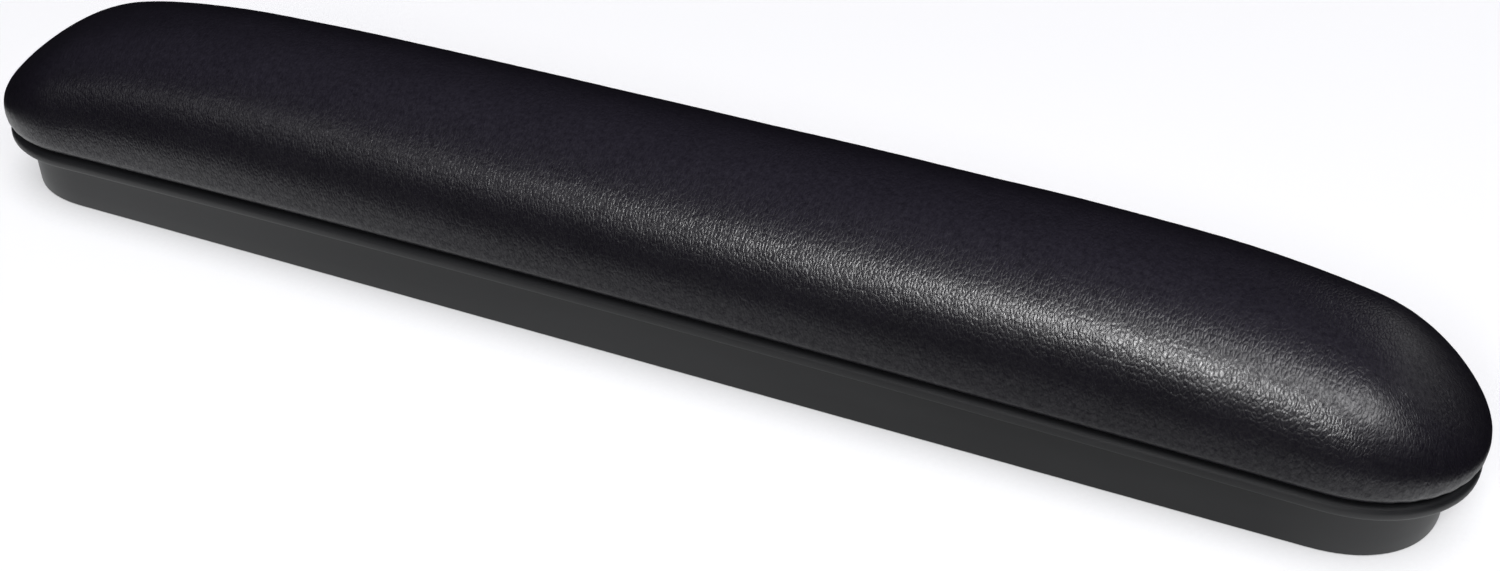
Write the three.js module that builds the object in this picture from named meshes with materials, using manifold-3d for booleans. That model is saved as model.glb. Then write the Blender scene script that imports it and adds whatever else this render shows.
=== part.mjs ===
// Full-length padded arm rest for a chair: a vinyl-covered foam crown on a plywood board,
// screwed to a hollow moulded base. Millimetres. +X runs along the pad, +Z is up, and the
// origin is at the middle of the pad on the surface that the base's rim stands on.

import * as THREE from "three";
import { mergeVertices } from "three/addons/utils/BufferGeometryUtils.js";
import Module from "manifold-3d";

// Overall size
const LENGTH = 355.6;
const WIDTH = 50.8;
const CLEARANCE = 0.3; // left between neighbouring pieces

// Plan of the cover: straight sides and superelliptic ends
const END_REACH = 27.8;
const END_POWER = 2.1;
const SIDE_STEPS = 16;
const END_STEPS = 10;

// The seam between cover and base is a shallow arch, higher in the middle than at the ends
const SEAM_END_HEIGHT = 15.5;
const SEAM_ARCH = 1.9;

// Vinyl cover
const VINYL_THICKNESS = 1.2;
const TUCK_RADIUS = 3.5; // where the vinyl rolls under the board
const HEM_WIDTH = 12;
const CROWN_RISE = 31.2; // from the seam to the crown, in the middle
const CROWN_POWER = 2.4; // roundness of the cross-section
const END_DROP = 0.68; // share of the crown's rise that is lost at the very ends
const END_DROP_POWER = 6.6;
const DOME_STEPS = 8;
const TUCK_STEPS = 2;

// Plywood board
const BOARD_THICKNESS = 7;
const BOARD_INSET = 3.4; // from the cover's outline, at the sides
const BOARD_END_INSET = 8;

// Foam
const FOAM_LIP_LEVEL = 1.9; // the lip round the board reaches down to this level above the seam

// Moulded base
const DECK_THICKNESS = 3.2;
const FLANGE_INSET = 0.5; // from the cover's outline
const FLANGE_ROUND = 1;
const FLANGE_STEPS = 2;
const WALL_SIDE_INSET = 4.2;
const WALL_END_INSET = 6.1;
const WALL_END_REACH = 22.6;
const WALL_END_POWER = 2.2;
const WALL_THICKNESS = 2.5;
const WALL_DRAFT = 0.3; // the wall is this much wider at the deck than at its rim
const RIM_ROUND = 0.5;
const STAPLE_CHANNEL_WIDTH = 5;
const STAPLE_CHANNEL_DEPTH = 0.9;
const RIB_THICKNESS = 1.8;
const RIB_RIM_GAP = 1.5; // the ribs stop this far above the rim
const RIB_PITCH = 31.75;
const CROSS_RIBS_EACH_SIDE = 5;
const LONG_RIB_OFFSET = 8;
const LONG_RIB_LENGTH = 337;

// Mounting points, on the centre line
const MOUNT_PITCH = 127;
const MOUNT_BOSS_DIAMETER = 16;
const MOUNT_HOLE_DIAMETER = 7;
const STANDOFF_HEIGHT = 1.2; // takes up the hem's thickness between deck and board

// M6 T-nuts in the board
const NUT_BARREL_DIAMETER = 7.8;
const NUT_BARREL_LENGTH = 5.2;
const NUT_BORE_DIAMETER = 5;
const NUT_FLANGE_DIAMETER = 19;
const NUT_FLANGE_THICKNESS = 1.2;
const PRONG_COUNT = 4;
const PRONG_RADIUS = 8.2;
const PRONG_WIDTH = 2.6;
const PRONG_LENGTH = 5;

// Self-tapping screws between base and board
const SCREW_OFFSETS = [31.75, 95.25, 142.9]; // from the middle, both ways
const SCREW_DIAMETER = 4.2;
const SCREW_LENGTH = 14;
const SCREW_POINT = 2.6;
const SCREW_HEAD_DIAMETER = 8;
const SCREW_HEAD_HEIGHT = 2.6;
const HEAD_CROWN_DIAMETER = 4.4; // flat middle of the head
const HEAD_SHOULDER_DIAMETER = 7;
const HEAD_SHOULDER_HEIGHT = 2; // above the bearing face
const HEAD_RIM_HEIGHT = 1;
const RECESS_WIDTH = 0.9;
const RECESS_SPAN = 4;
const RECESS_DEPTH = 1.4;
const SCREW_BOSS_DIAMETER = 10.4;
const SCREW_BOSS_LENGTH = 5;

// Upholstery staples round the hem
const STAPLE_COUNT = 36;
const STAPLE_LINE_INSET = 10.5; // from the cover's outline
const STAPLE_WIDTH = 9.4;
const STAPLE_LEG = 6;
const WIRE_WIDTH = 0.95;
const WIRE_THICKNESS = 0.65;

// Facets round the circular features
const BOSS_SIDES = 24;
const BORE_SIDES = 20;
const SCREW_SIDES = 16;
const SCREW_HOLE_SIDES = 12;
const CUT_OVERRUN = 1; // cutters run this far past the faces that they open

const HALF_LENGTH = LENGTH / 2;
const HALF_WIDTH = WIDTH / 2;
const SPINE_HALF = HALF_LENGTH - END_REACH; // the crown line runs this far from the middle
const DECK_TOP = -CLEARANCE; // levels from here on are measured from the seam
const DECK_BOTTOM = DECK_TOP - DECK_THICKNESS;
const STANDOFF_TOP = DECK_TOP + STANDOFF_HEIGHT + CLEARANCE;
const BOARD_BOTTOM = VINYL_THICKNESS + CLEARANCE;
const BOARD_TOP = BOARD_BOTTOM + BOARD_THICKNESS;
const FOAM_INSET = VINYL_THICKNESS + CLEARANCE;
const SCREW_SEAT = DECK_BOTTOM - SCREW_BOSS_LENGTH;
const DECK_OVERLAP = DECK_THICKNESS / 3; // ribs and bosses are sunk this far into the deck
const SCREW_HOLE_DIAMETER = SCREW_DIAMETER + 2 * CLEARANCE;

const wasm = await Module();
wasm.setup();

// ---- Plan outlines and levels

// Height of the seam above the rim's plane at a distance x from the middle.
function seamHeight(x) {
  return SEAM_END_HEIGHT + SEAM_ARCH * (1 - (x / HALF_LENGTH) ** 2);
}

function signedPower(value, power) {
  return Math.sign(value) * Math.abs(value) ** power;
}

// Anticlockwise [x, y] points of a long oval. reach is the length of each superelliptic end.
function oval({ halfLength, halfWidth, reach, power }) {
  const straight = halfLength - reach;
  const points = [];
  for (const side of [1, -1]) {
    for (let step = 0; step <= END_STEPS; step += 1) {
      const angle = Math.PI * (step / END_STEPS - 0.5);
      const along = straight + reach * signedPower(Math.cos(angle), 2 / power);
      const across = halfWidth * signedPower(Math.sin(angle), 2 / power);
      points.push([side * along, side * across]);
    }
    for (let step = 1; step < SIDE_STEPS; step += 1) {
      points.push([side * straight * (1 - (2 * step) / SIDE_STEPS), side * halfWidth]);
    }
  }
  return points;
}

// The cover's plan, moved in by the inset.
function coverPlan(inset) {
  return oval({
    halfLength: HALF_LENGTH - inset,
    halfWidth: HALF_WIDTH - inset,
    reach: END_REACH - inset,
    power: END_POWER,
  });
}

// The base wall's plan, moved in by the inset.
function wallPlan(inset) {
  return oval({
    halfLength: HALF_LENGTH - WALL_END_INSET - inset,
    halfWidth: HALF_WIDTH - WALL_SIDE_INSET - inset,
    reach: WALL_END_REACH - inset,
    power: WALL_END_POWER,
  });
}

// The support board's plan, made larger by the margin.
function boardPlan(margin) {
  return oval({
    halfLength: HALF_LENGTH - BOARD_END_INSET + margin,
    halfWidth: HALF_WIDTH - BOARD_INSET + margin,
    reach: END_REACH - BOARD_INSET + margin,
    power: END_POWER,
  });
}

// Lifts a plan to a level measured from the arched seam.
function ringFromSeam(plan, level) {
  return plan.map(([x, y]) => [x, y, seamHeight(x) + level]);
}

// Lifts a plan to a height measured from the rim's plane.
function ringFromRim(plan, height) {
  return plan.map(([x, y]) => [x, y, height]);
}

// Gathers a plan onto its centre line, which closes the surface there.
function gatheredFromSeam(plan, level) {
  return plan.map(([x]) => {
    const spine = THREE.MathUtils.clamp(x, -SPINE_HALF, SPINE_HALF);
    return [spine, 0, seamHeight(spine) + level];
  });
}

// Share of the full crown that is left at a distance x from the middle.
function crownShare(x) {
  return 1 - END_DROP * Math.abs(x / HALF_LENGTH) ** END_DROP_POWER;
}

// One ring of the crowned top. turn runs from 0 at the widest line to 1 at the crown.
function domeRing(turn, inset) {
  const angle = (turn * Math.PI) / 2;
  const spread = turn === 1 ? 0 : Math.cos(angle) ** (2 / CROWN_POWER);
  const rise = Math.sin(angle) ** (2 / CROWN_POWER);
  return coverPlan(inset).map(([x, y]) => {
    const spine = THREE.MathUtils.clamp(x, -SPINE_HALF, SPINE_HALF);
    const px = spine + spread * (x - spine);
    const crown = (CROWN_RISE - TUCK_RADIUS) * crownShare(px) - inset;
    return [px, spread * y, seamHeight(px) + TUCK_RADIUS + crown * rise];
  });
}

function domeRings(inset) {
  const rings = [];
  for (let step = 0; step <= DOME_STEPS; step += 1) {
    rings.push(domeRing(step / DOME_STEPS, inset));
  }
  return rings;
}

// ---- Solids

// Closed surface through matching rings, listed from the inside of the underside outwards,
// up the outside and in over the top.
function ringSolid(rings) {
  const count = rings[0].length;
  const index = [];
  for (let level = 0; level + 1 < rings.length; level += 1) {
    for (let i = 0; i < count; i += 1) {
      const next = (i + 1) % count;
      const below = level * count;
      const above = below + count;
      index.push(below + i, below + next, above + next);
      index.push(below + i, above + next, above + i);
    }
  }
  const geometry = new THREE.BufferGeometry();
  geometry.setAttribute("position", new THREE.Float32BufferAttribute(rings.flat(2), 3));
  geometry.setIndex(index);
  return solid(geometry);
}

// Welds a closed three.js geometry, drops its collapsed triangles and makes it a solid.
function solid(geometry) {
  const bare = geometry.clone();
  bare.deleteAttribute("normal");
  bare.deleteAttribute("uv");
  const welded = mergeVertices(bare, 1e-4);
  const corners = welded.index.array;
  const kept = [];
  for (let i = 0; i < corners.length; i += 3) {
    const [a, b, c] = [corners[i], corners[i + 1], corners[i + 2]];
    if (a !== b && b !== c && c !== a) {
      kept.push(a, b, c);
    }
  }
  const mesh = new wasm.Mesh({
    numProp: 3,
    vertProperties: new Float32Array(welded.attributes.position.array),
    triVerts: new Uint32Array(kept),
  });
  return new wasm.Manifold(mesh);
}

function movedGeometry(geometry, x, y, z) {
  return geometry.translate(x, y, z);
}

// Upright cylinder between two heights.
function post(x, y, diameter, bottom, top, sides) {
  const geometry = new THREE.CylinderGeometry(diameter / 2, diameter / 2, top - bottom, sides);
  geometry.rotateX(Math.PI / 2);
  return solid(movedGeometry(geometry, x, y, (top + bottom) / 2));
}

function block(sizeX, sizeY, bottom, top, x, y) {
  const geometry = new THREE.BoxGeometry(sizeX, sizeY, top - bottom);
  return solid(movedGeometry(geometry, x, y, (top + bottom) / 2));
}

// Turns an [radius, height] profile about the upright axis.
function turned(profile, sides) {
  const points = profile.map(([radius, height]) => new THREE.Vector2(radius, height));
  const geometry = new THREE.LatheGeometry(points, sides);
  geometry.rotateX(Math.PI / 2);
  return solid(geometry);
}

function joined(first, others) {
  return others.reduce((whole, piece) => whole.add(piece), first);
}

function cut(first, cutters) {
  return cutters.reduce((whole, cutter) => whole.subtract(cutter), first);
}

function geometryOf(body) {
  const { vertProperties, triVerts } = body.getMesh();
  const geometry = new THREE.BufferGeometry();
  geometry.setAttribute("position", new THREE.Float32BufferAttribute(vertProperties, 3));
  geometry.setIndex(Array.from(triVerts));
  geometry.computeVertexNormals();
  return geometry;
}

// ---- Materials

function vinylMaterial() {
  return new THREE.MeshStandardMaterial({ color: 0x17161a, roughness: 0.42, metalness: 0 });
}

function foamMaterial() {
  return new THREE.MeshStandardMaterial({ color: 0xd9cf9e, roughness: 0.95, metalness: 0 });
}

function plywoodMaterial() {
  return new THREE.MeshStandardMaterial({ color: 0xb98d5a, roughness: 0.75, metalness: 0 });
}

function mouldedMaterial() {
  return new THREE.MeshStandardMaterial({ color: 0x1b1c1e, roughness: 0.5, metalness: 0 });
}

function zincMaterial() {
  return new THREE.MeshStandardMaterial({ color: 0xb4b6b8, roughness: 0.35, metalness: 0.9 });
}

function wireMaterial() {
  return new THREE.MeshStandardMaterial({ color: 0x9a9ca0, roughness: 0.3, metalness: 0.9 });
}

// ---- Places of the fasteners

function mountPlaces() {
  return [-MOUNT_PITCH, 0, MOUNT_PITCH];
}

function screwPlaces() {
  return SCREW_OFFSETS.flatMap((x) => [-x, x]).sort((a, b) => a - b);
}

// Evenly spaced points on the staple line, each with the line's direction there.
function staplePlaces() {
  const line = new THREE.CurvePath();
  const corners = coverPlan(STAPLE_LINE_INSET).map(([x, y]) => new THREE.Vector2(x, y));
  corners.forEach((corner, i) => {
    line.add(new THREE.LineCurve(corner, corners[(i + 1) % corners.length]));
  });
  const places = [];
  for (let i = 0; i < STAPLE_COUNT; i += 1) {
    const share = (i + 0.5) / STAPLE_COUNT;
    const { x, y } = line.getPointAt(share);
    const along = line.getTangentAt(share);
    places.push({ x, y, turn: Math.atan2(along.y, along.x) });
  }
  return places;
}

// Holes that the staples' legs leave, a clearance larger than the wire on each side.
function stapleLegHoles() {
  const along = WIRE_THICKNESS + 2 * CLEARANCE;
  const across = WIRE_WIDTH + 2 * CLEARANCE;
  const depth = STAPLE_LEG + CLEARANCE;
  const offset = (STAPLE_WIDTH - WIRE_THICKNESS) / 2;
  return staplePlaces().flatMap(({ x, y, turn }) =>
    [-offset, offset].map((shift) => {
      const hole = new THREE.BoxGeometry(along, across, 2 * depth);
      hole.translate(shift, 0, 0);
      hole.rotateZ(turn);
      return solid(movedGeometry(hole, x, y, seamHeight(x)));
    }),
  );
}

// ---- Sub-parts

function vinylCover() {
  const rings = domeRings(VINYL_THICKNESS).reverse();
  const innerRadius = TUCK_RADIUS - VINYL_THICKNESS;
  for (let step = 1; step <= TUCK_STEPS; step += 1) {
    const angle = (step / TUCK_STEPS) * (Math.PI / 2);
    const inset = TUCK_RADIUS - innerRadius * Math.cos(angle);
    rings.push(ringFromSeam(coverPlan(inset), TUCK_RADIUS - innerRadius * Math.sin(angle)));
  }
  rings.push(ringFromSeam(coverPlan(TUCK_RADIUS + HEM_WIDTH), VINYL_THICKNESS));
  rings.push(ringFromSeam(coverPlan(TUCK_RADIUS + HEM_WIDTH), 0));
  for (let step = TUCK_STEPS; step >= 1; step -= 1) {
    const angle = (step / TUCK_STEPS) * (Math.PI / 2);
    const inset = TUCK_RADIUS * (1 - Math.cos(angle));
    rings.push(ringFromSeam(coverPlan(inset), TUCK_RADIUS * (1 - Math.sin(angle))));
  }
  rings.push(...domeRings(0));
  return cut(ringSolid(rings), stapleLegHoles());
}

// Foam dome with a lip that reaches down round the board, and hollows for the T-nut flanges.
function foamPad() {
  const hollow = boardPlan(CLEARANCE);
  const lipRadius = TUCK_RADIUS - FOAM_INSET;
  const lipDrop = TUCK_RADIUS - FOAM_LIP_LEVEL;
  const lipInset = TUCK_RADIUS - Math.sqrt(lipRadius ** 2 - lipDrop ** 2);
  const bendInset = TUCK_RADIUS - Math.sqrt(lipRadius ** 2 - (lipDrop / 2) ** 2);
  const rings = [
    gatheredFromSeam(hollow, BOARD_TOP + CLEARANCE),
    ringFromSeam(hollow, BOARD_TOP + CLEARANCE),
    ringFromSeam(hollow, FOAM_LIP_LEVEL),
    ringFromSeam(coverPlan(lipInset), FOAM_LIP_LEVEL),
    ringFromSeam(coverPlan(bendInset), FOAM_LIP_LEVEL + lipDrop / 2),
    ...domeRings(FOAM_INSET),
  ];
  const reliefs = mountPlaces().map((x) => {
    const floor = seamHeight(x) + BOARD_TOP;
    const top = floor + NUT_FLANGE_THICKNESS + 2 * CLEARANCE;
    return post(x, 0, NUT_FLANGE_DIAMETER + 2 * CLEARANCE, floor, top, BOSS_SIDES);
  });
  return cut(ringSolid(rings), reliefs);
}

function prongSlots(x) {
  const top = seamHeight(x) + BOARD_TOP + CLEARANCE;
  const bottom = top - PRONG_LENGTH - 2 * CLEARANCE;
  const thickness = NUT_FLANGE_THICKNESS + 2 * CLEARANCE;
  const width = PRONG_WIDTH + 2 * CLEARANCE;
  const reach = PRONG_RADIUS;
  return [
    block(thickness, width, bottom, top, x + reach, 0),
    block(thickness, width, bottom, top, x - reach, 0),
    block(width, thickness, bottom, top, x, reach),
    block(width, thickness, bottom, top, x, -reach),
  ];
}

function supportBoard() {
  const plan = boardPlan(0);
  const board = ringSolid([
    gatheredFromSeam(plan, BOARD_BOTTOM),
    ringFromSeam(plan, BOARD_BOTTOM),
    ringFromSeam(plan, BOARD_TOP),
    gatheredFromSeam(plan, BOARD_TOP),
  ]);
  const nutHoles = mountPlaces().map((x) => {
    const bottom = seamHeight(x) + BOARD_BOTTOM - CUT_OVERRUN;
    const top = seamHeight(x) + BOARD_TOP + CUT_OVERRUN;
    return post(x, 0, NUT_BARREL_DIAMETER + 2 * CLEARANCE, bottom, top, BOSS_SIDES);
  });
  const screwHoles = screwPlaces().map((x) => {
    const bottom = seamHeight(x) + BOARD_BOTTOM - CUT_OVERRUN;
    const top = seamHeight(x) + SCREW_SEAT + SCREW_LENGTH + 2 * CLEARANCE;
    return post(x, 0, SCREW_HOLE_DIAMETER, bottom, top, SCREW_HOLE_SIDES);
  });
  const cutters = [...nutHoles, ...mountPlaces().flatMap(prongSlots), ...screwHoles, ...stapleLegHoles()];
  return cut(board, cutters);
}

// Deck, round-edged flange and wall of the base, with a channel in the deck for the staples.
function baseTray() {
  const channelOuter = STAPLE_LINE_INSET - STAPLE_CHANNEL_WIDTH / 2;
  const channelInner = STAPLE_LINE_INSET + STAPLE_CHANNEL_WIDTH / 2;
  const channelFloor = DECK_TOP - STAPLE_CHANNEL_DEPTH;
  const rings = [
    gatheredFromSeam(wallPlan(WALL_THICKNESS), DECK_BOTTOM),
    ringFromSeam(wallPlan(WALL_THICKNESS - WALL_DRAFT), DECK_BOTTOM),
    ringFromRim(wallPlan(WALL_THICKNESS), RIM_ROUND),
    ringFromRim(wallPlan(WALL_THICKNESS - RIM_ROUND), 0),
    ringFromRim(wallPlan(RIM_ROUND), 0),
    ringFromRim(wallPlan(0), RIM_ROUND),
    ringFromSeam(wallPlan(-WALL_DRAFT), DECK_BOTTOM),
    ringFromSeam(coverPlan(FLANGE_INSET + RIM_ROUND), DECK_BOTTOM),
    ringFromSeam(coverPlan(FLANGE_INSET), DECK_BOTTOM + RIM_ROUND),
  ];
  for (let step = 0; step <= FLANGE_STEPS; step += 1) {
    const angle = (step / FLANGE_STEPS) * (Math.PI / 2);
    const inset = FLANGE_INSET + FLANGE_ROUND * (1 - Math.cos(angle));
    rings.push(ringFromSeam(coverPlan(inset), DECK_TOP - FLANGE_ROUND * (1 - Math.sin(angle))));
  }
  rings.push(
    ringFromSeam(coverPlan(channelOuter), DECK_TOP),
    ringFromSeam(coverPlan(channelOuter), channelFloor),
    ringFromSeam(coverPlan(channelInner), channelFloor),
    ringFromSeam(coverPlan(channelInner), DECK_TOP),
    gatheredFromSeam(coverPlan(channelInner), DECK_TOP),
  );
  return ringSolid(rings);
}

// Half the clear width inside the wall at a distance x from the middle.
function innerHalfWidth(x) {
  const halfWidth = HALF_WIDTH - WALL_SIDE_INSET - WALL_THICKNESS;
  const reach = WALL_END_REACH - WALL_THICKNESS;
  const straight = HALF_LENGTH - WALL_END_INSET - WALL_END_REACH;
  const past = Math.max(0, Math.abs(x) - straight) / reach;
  return halfWidth * (1 - past ** WALL_END_POWER) ** (1 / WALL_END_POWER);
}

function baseRibs() {
  const ribs = [];
  for (let i = -CROSS_RIBS_EACH_SIDE; i <= CROSS_RIBS_EACH_SIDE; i += 1) {
    const x = i * RIB_PITCH;
    const top = seamHeight(x) + DECK_BOTTOM + DECK_OVERLAP;
    const span = 2 * innerHalfWidth(x) + WALL_THICKNESS;
    ribs.push(block(RIB_THICKNESS, span, RIB_RIM_GAP, top, x, 0));
  }
  for (const side of [-1, 1]) {
    ribs.push(archedRib(side * LONG_RIB_OFFSET));
  }
  return ribs;
}

// Lengthwise rib whose top edge follows the deck's arch.
function archedRib(y) {
  const half = LONG_RIB_LENGTH / 2;
  const outline = new THREE.Shape();
  outline.moveTo(-half, RIB_RIM_GAP);
  outline.lineTo(half, RIB_RIM_GAP);
  for (let step = 0; step <= SIDE_STEPS; step += 1) {
    const x = half * (1 - (2 * step) / SIDE_STEPS);
    outline.lineTo(x, seamHeight(x) + DECK_BOTTOM + DECK_OVERLAP);
  }
  outline.closePath();
  const geometry = new THREE.ExtrudeGeometry(outline, { depth: RIB_THICKNESS, bevelEnabled: false });
  geometry.rotateX(Math.PI / 2);
  return solid(movedGeometry(geometry, 0, y + RIB_THICKNESS / 2, 0));
}

function baseShell() {
  const additions = baseRibs();
  const cutters = [];
  for (const x of mountPlaces()) {
    const top = seamHeight(x) + STANDOFF_TOP;
    additions.push(post(x, 0, MOUNT_BOSS_DIAMETER, 0, top, BOSS_SIDES));
    cutters.push(post(x, 0, MOUNT_HOLE_DIAMETER, -CUT_OVERRUN, top + CUT_OVERRUN, BORE_SIDES));
  }
  for (const x of screwPlaces()) {
    const seat = seamHeight(x) + SCREW_SEAT;
    const top = seamHeight(x) + STANDOFF_TOP;
    additions.push(post(x, 0, SCREW_BOSS_DIAMETER, seat, top, BORE_SIDES));
    cutters.push(post(x, 0, SCREW_BOSS_DIAMETER, -CUT_OVERRUN, seat, BORE_SIDES));
    cutters.push(post(x, 0, SCREW_HOLE_DIAMETER, -CUT_OVERRUN, top + CUT_OVERRUN, SCREW_HOLE_SIDES));
  }
  return cut(joined(baseTray(), additions), cutters);
}

// T-nut with its flange on top of the board, its barrel and prongs pointing down. Its own
// height 0 is the underside of the flange.
function tNut() {
  const bore = NUT_BORE_DIAMETER / 2;
  const barrel = NUT_BARREL_DIAMETER / 2;
  const flange = NUT_FLANGE_DIAMETER / 2;
  const body = turned(
    [
      [bore, NUT_FLANGE_THICKNESS],
      [bore, -NUT_BARREL_LENGTH],
      [barrel, -NUT_BARREL_LENGTH],
      [barrel, 0],
      [flange, 0],
      [flange, NUT_FLANGE_THICKNESS],
      [bore, NUT_FLANGE_THICKNESS],
    ],
    BOSS_SIDES,
  );
  const prongs = [];
  for (let i = 0; i < PRONG_COUNT; i += 1) {
    prongs.push(tNutProng((i * 2 * Math.PI) / PRONG_COUNT));
  }
  return joined(body, prongs);
}

// Pointed tab bent down from the flange.
function tNutProng(turn) {
  const half = PRONG_WIDTH / 2;
  const outline = new THREE.Shape();
  outline.moveTo(-half, NUT_FLANGE_THICKNESS / 2);
  outline.lineTo(-half, -PRONG_LENGTH / 2);
  outline.lineTo(0, -PRONG_LENGTH);
  outline.lineTo(half, -PRONG_LENGTH / 2);
  outline.lineTo(half, NUT_FLANGE_THICKNESS / 2);
  outline.closePath();
  const options = { depth: NUT_FLANGE_THICKNESS, bevelEnabled: false };
  const geometry = new THREE.ExtrudeGeometry(outline, options);
  geometry.translate(0, 0, -NUT_FLANGE_THICKNESS / 2);
  geometry.rotateX(Math.PI / 2);
  geometry.rotateZ(Math.PI / 2);
  geometry.translate(PRONG_RADIUS, 0, 0);
  geometry.rotateZ(turn);
  return solid(geometry);
}

// Pan-head screw pointing up. Its own height 0 is the bearing face of the head.
function baseScrew() {
  const shank = SCREW_DIAMETER / 2;
  const head = SCREW_HEAD_DIAMETER / 2;
  const body = turned(
    [
      [0, -SCREW_HEAD_HEIGHT],
      [HEAD_CROWN_DIAMETER / 2, -SCREW_HEAD_HEIGHT],
      [HEAD_SHOULDER_DIAMETER / 2, -HEAD_SHOULDER_HEIGHT],
      [head, -HEAD_RIM_HEIGHT],
      [head, 0],
      [shank, 0],
      [shank, SCREW_LENGTH - SCREW_POINT],
      [0, SCREW_LENGTH],
    ],
    SCREW_SIDES,
  );
  const recessTop = RECESS_DEPTH - SCREW_HEAD_HEIGHT;
  const recessBottom = -SCREW_HEAD_HEIGHT - CUT_OVERRUN;
  const recess = [
    block(RECESS_SPAN, RECESS_WIDTH, recessBottom, recessTop, 0, 0),
    block(RECESS_WIDTH, RECESS_SPAN, recessBottom, recessTop, 0, 0),
  ];
  return cut(body, recess);
}

// Upholstery staple, legs up. Its own height 0 is the upper face of its crown.
function coverStaple() {
  const half = STAPLE_WIDTH / 2;
  const outline = new THREE.Shape();
  outline.moveTo(-half, -WIRE_THICKNESS);
  outline.lineTo(half, -WIRE_THICKNESS);
  outline.lineTo(half, STAPLE_LEG);
  outline.lineTo(half - WIRE_THICKNESS, STAPLE_LEG - WIRE_THICKNESS);
  outline.lineTo(half - WIRE_THICKNESS, 0);
  outline.lineTo(WIRE_THICKNESS - half, 0);
  outline.lineTo(WIRE_THICKNESS - half, STAPLE_LEG - WIRE_THICKNESS);
  outline.lineTo(-half, STAPLE_LEG);
  outline.closePath();
  const geometry = new THREE.ExtrudeGeometry(outline, { depth: WIRE_WIDTH, bevelEnabled: false });
  geometry.rotateX(Math.PI / 2);
  geometry.translate(0, WIRE_WIDTH / 2, 0);
  return solid(geometry);
}

// ---- Assembly

function addPart(group, name, body, material) {
  const mesh = new THREE.Mesh(geometryOf(body), material);
  mesh.name = name;
  group.add(mesh);
  return mesh;
}

function addTNuts(group) {
  mountPlaces().forEach((x, i) => {
    const nut = addPart(group, `t_nut_${i + 1}`, tNut(), zincMaterial());
    nut.position.set(x, 0, seamHeight(x) + BOARD_TOP + CLEARANCE);
  });
}

function addBaseScrews(group) {
  screwPlaces().forEach((x, i) => {
    const screw = addPart(group, `base_screw_${i + 1}`, baseScrew(), zincMaterial());
    screw.position.set(x, 0, seamHeight(x) + SCREW_SEAT - CLEARANCE);
  });
}

function addCoverStaples(group) {
  staplePlaces().forEach(({ x, y, turn }, i) => {
    const name = `cover_staple_${String(i + 1).padStart(2, "0")}`;
    const staple = addPart(group, name, coverStaple(), wireMaterial());
    staple.position.set(x, y, seamHeight(x) - CLEARANCE);
    staple.rotation.z = turn;
  });
}

function armPad() {
  const group = new THREE.Group();
  addPart(group, "vinyl_cover", vinylCover(), vinylMaterial());
  addPart(group, "foam_pad", foamPad(), foamMaterial());
  addPart(group, "support_board", supportBoard(), plywoodMaterial());
  addPart(group, "base_shell", baseShell(), mouldedMaterial());
  addTNuts(group);
  addBaseScrews(group);
  addCoverStaples(group);
  return group;
}

const group = armPad();

export default group;
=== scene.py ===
"""Looks of a full-length padded arm rest: black grained vinyl over foam, on a moulded base.

Metres, in the frame of the CAD model: +X along the pad, +Z up, origin on the rim's plane.
"""
import math

import bmesh
import bpy
import numpy as np
from mathutils import Matrix, Vector, kdtree, noise


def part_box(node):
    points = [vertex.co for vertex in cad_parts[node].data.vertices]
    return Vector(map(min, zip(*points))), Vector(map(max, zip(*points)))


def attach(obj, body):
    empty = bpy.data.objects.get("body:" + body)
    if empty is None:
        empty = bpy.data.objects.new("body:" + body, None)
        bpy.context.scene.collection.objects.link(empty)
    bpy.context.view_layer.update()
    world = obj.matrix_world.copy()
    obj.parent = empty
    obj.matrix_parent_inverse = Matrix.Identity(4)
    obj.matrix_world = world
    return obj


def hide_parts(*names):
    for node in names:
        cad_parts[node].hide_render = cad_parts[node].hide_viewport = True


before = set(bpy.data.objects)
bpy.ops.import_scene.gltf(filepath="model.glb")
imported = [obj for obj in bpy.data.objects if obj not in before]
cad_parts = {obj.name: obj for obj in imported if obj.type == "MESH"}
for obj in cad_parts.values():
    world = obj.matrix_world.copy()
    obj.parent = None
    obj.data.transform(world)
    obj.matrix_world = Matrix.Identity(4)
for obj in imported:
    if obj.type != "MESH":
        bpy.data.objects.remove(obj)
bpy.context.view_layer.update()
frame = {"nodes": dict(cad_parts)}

MM = 0.001

# ---- Shape of the pad, as in the CAD source

HALF_LENGTH = 177.8 * MM
HALF_WIDTH = 25.4 * MM
GAP = 0.3 * MM
END_REACH = 27.8 * MM
END_POWER = 2.1
SEAM_END_HEIGHT = 15.5 * MM
SEAM_ARCH = 1.9 * MM
VINYL_THICKNESS = 1.2 * MM
TUCK_RADIUS = 3.5 * MM
HEM_WIDTH = 12 * MM
CROWN_RISE = 31.2 * MM
CROWN_POWER = 2.4
END_DROP = 0.68
END_DROP_POWER = 6.6
SPINE_HALF = HALF_LENGTH - END_REACH


def seam_height(x):
    """Height of the arched seam between cover and base."""
    return SEAM_END_HEIGHT + SEAM_ARCH * (1 - (x / HALF_LENGTH) ** 2)


def signed_power(value, power):
    return np.sign(value) * np.abs(value) ** power


def oval(half_length, half_width, reach, power, end_steps, side_steps):
    """Anticlockwise (x, y) points of a long oval with superelliptic ends."""
    straight = half_length - reach
    points = []
    for side in (1, -1):
        angle = np.pi * (np.arange(end_steps + 1) / end_steps - 0.5)
        along = straight + reach * signed_power(np.cos(angle), 2 / power)
        across = half_width * signed_power(np.sin(angle), 2 / power)
        points.append(side * np.c_[along, across])
        share = np.arange(1, side_steps) / side_steps
        edge = np.c_[straight * (1 - 2 * share), np.full(side_steps - 1, half_width)]
        points.append(side * edge)
    return np.vstack(points)


def cover_plan(inset, steps):
    return oval(HALF_LENGTH - inset, HALF_WIDTH - inset, END_REACH - inset, END_POWER, *steps)


def from_seam(plan, level):
    """Lifts a plan to a level measured from the arched seam."""
    return np.c_[plan, seam_height(plan[:, 0]) + level]


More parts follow.
